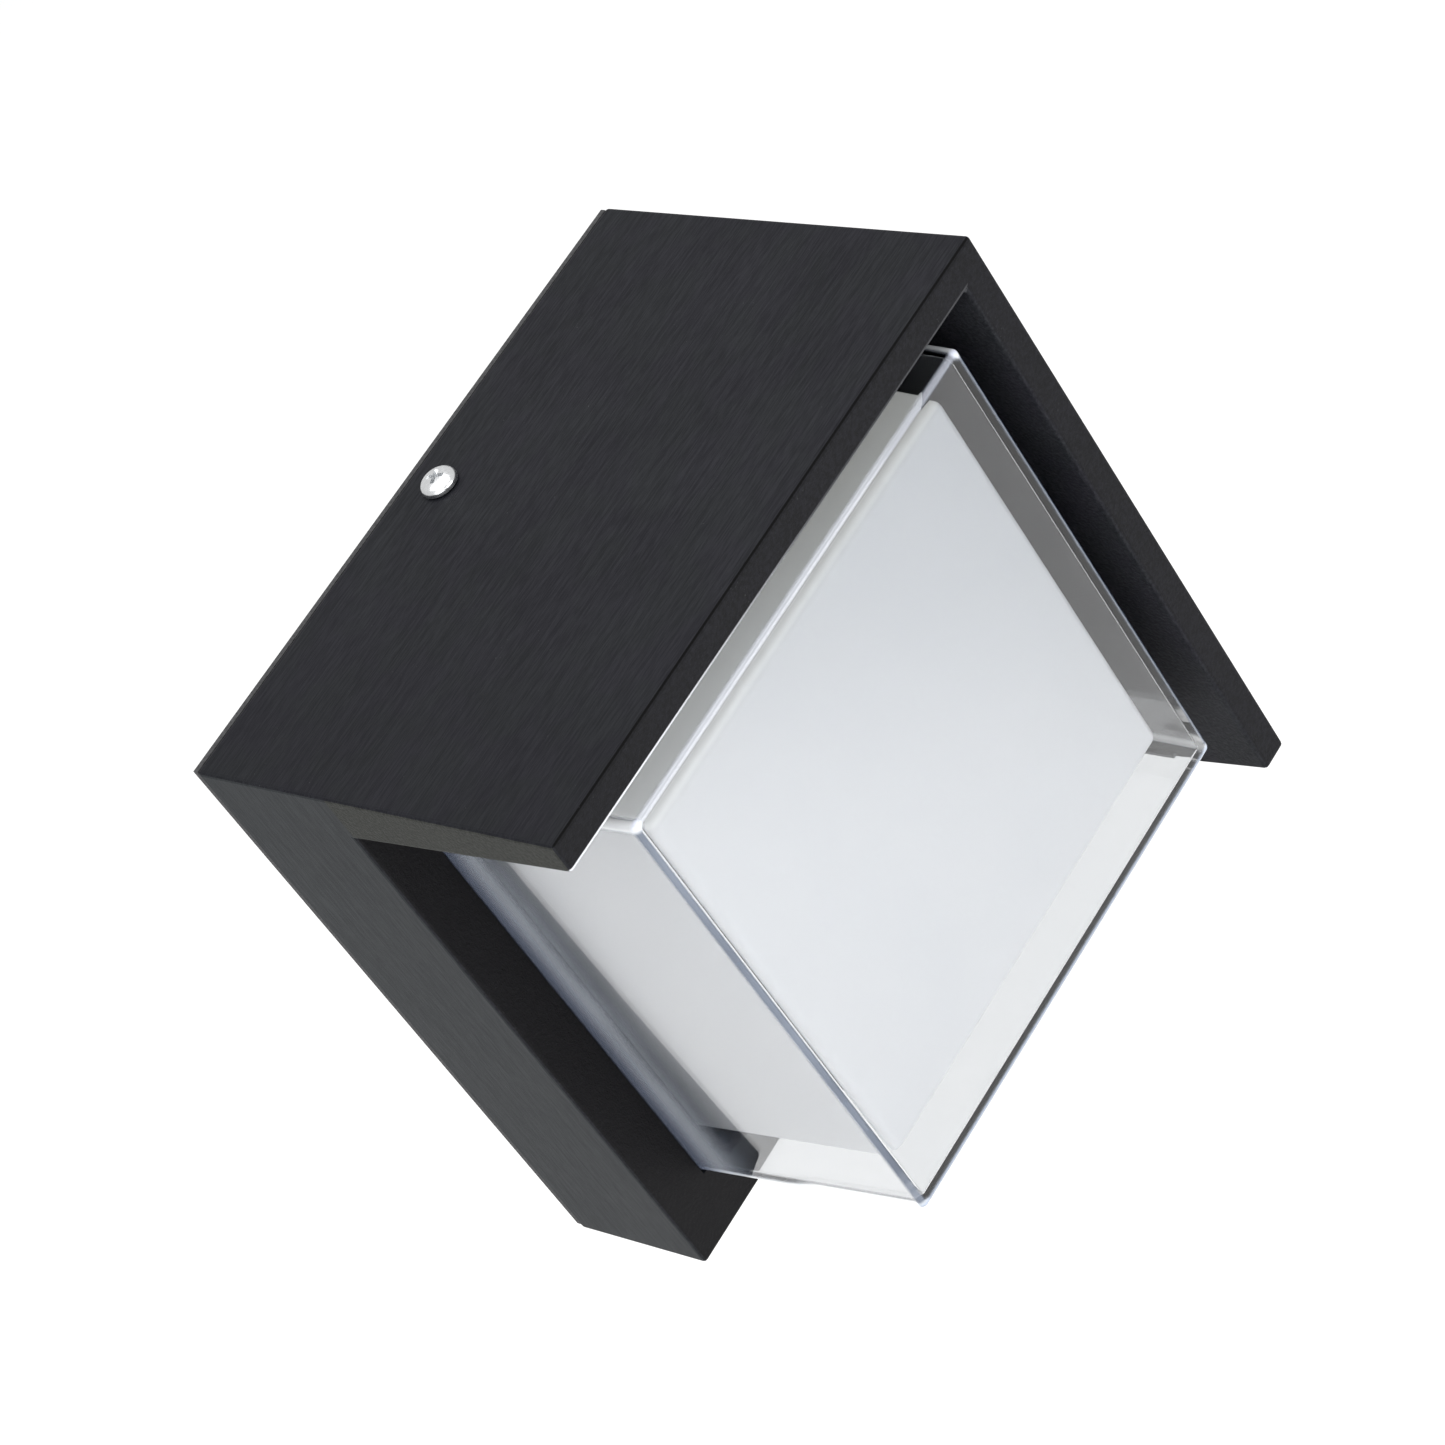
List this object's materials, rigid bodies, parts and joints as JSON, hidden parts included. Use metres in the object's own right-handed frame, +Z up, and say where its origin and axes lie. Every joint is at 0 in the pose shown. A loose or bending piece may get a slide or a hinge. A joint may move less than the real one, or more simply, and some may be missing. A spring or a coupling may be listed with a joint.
{
  "type": "outdoor wall lantern",
  "caption": "Square outdoor wall lantern with an opal diffuser in a clear cover, under a cast hood with one side cheek, on a wall bracket.",
  "frame": {"origin": "centre of the wall bracket's back face, on the wall", "axes": "+Z up, the wall is y = 0 and the lantern stands out towards -Y, +X on the right of someone facing the wall"},
  "size_m": [0.15, 0.0985, 0.1576],
  "materials": {
    "housing_paint": "matt charcoal powder coat over a fine brushed grain",
    "clear_cover": "clear glossy polycarbonate",
    "opal_diffuser": "opal satin",
    "silicone": "soft grey silicone",
    "board_white": "white solder mask",
    "led_phosphor": "yellow phosphor",
    "screw_steel": "plated",
    "bright_zinc": "bright zinc plating",
    "bracket_zinc": "galvanised",
    "plate_aluminium": "mill finish",
    "tinned_metal": "tinned",
    "grommet_rubber": "matt",
    "gasket_foam": "closed-cell foam",
    "driver_case": "moulded",
    "terminal_nylon": "moulded",
    "wire_red": "insulation",
    "wire_black": "insulation",
    "wire_brown": "insulation",
    "wire_blue": "insulation",
    "wire_green": "insulation"
  },
  "bodies": {
    "lamp": {"clear_cover": "clear_cover", "cover_seal": "silicone", "diffuser_seal": "silicone", "driver_screw_1": "screw_steel", "driver_screw_2": "screw_steel", "earth_screw": "screw_steel", "earth_tag": "tinned_metal", "housing": "housing_paint", "lead_earth": "wire_green", "lead_grommet": "grommet_rubber", "lead_led_negative": "wire_black", "lead_led_positive": "wire_red", "lead_line": "wire_brown", "lead_neutral": "wire_blue", "led_1": "led_phosphor", "led_2": "led_phosphor", "led_3": "led_phosphor", "led_4": "led_phosphor", "led_5": "led_phosphor", "led_6": "led_phosphor", "led_7": "led_phosphor", "led_8": "led_phosphor", "led_9": "led_phosphor", "led_board": "board_white", "led_board_screw_1": "screw_steel", "led_board_screw_2": "screw_steel", "led_board_screw_3": "screw_steel", "led_board_screw_4": "screw_steel", "led_driver": "driver_case", "opal_diffuser": "opal_diffuser", "rear_cover": "plate_aluminium", "rear_cover_screw_1": "screw_steel", "rear_cover_screw_2": "screw_steel", "rear_cover_screw_3": "screw_steel", "rear_cover_screw_4": "screw_steel", "rear_seal": "silicone", "terminal_block": "terminal_nylon", "wall_bracket": "bracket_zinc", "wall_gasket": "gasket_foam"},
    "upper_screw": {"upper_fixing_screw": "bright_zinc"},
    "lower_screw": {"lower_fixing_screw": "bright_zinc"}
  },
  "joints": [
    {"name": "upper_screw_slide", "type": "slide", "parent": "lamp", "child": "upper_screw", "axis": [0, 0, 1], "range_m": [0, 0.01]},
    {"name": "lower_screw_slide", "type": "slide", "parent": "lamp", "child": "lower_screw", "axis": [0, 0, -1], "range_m": [0, 0.01]}
  ]
}
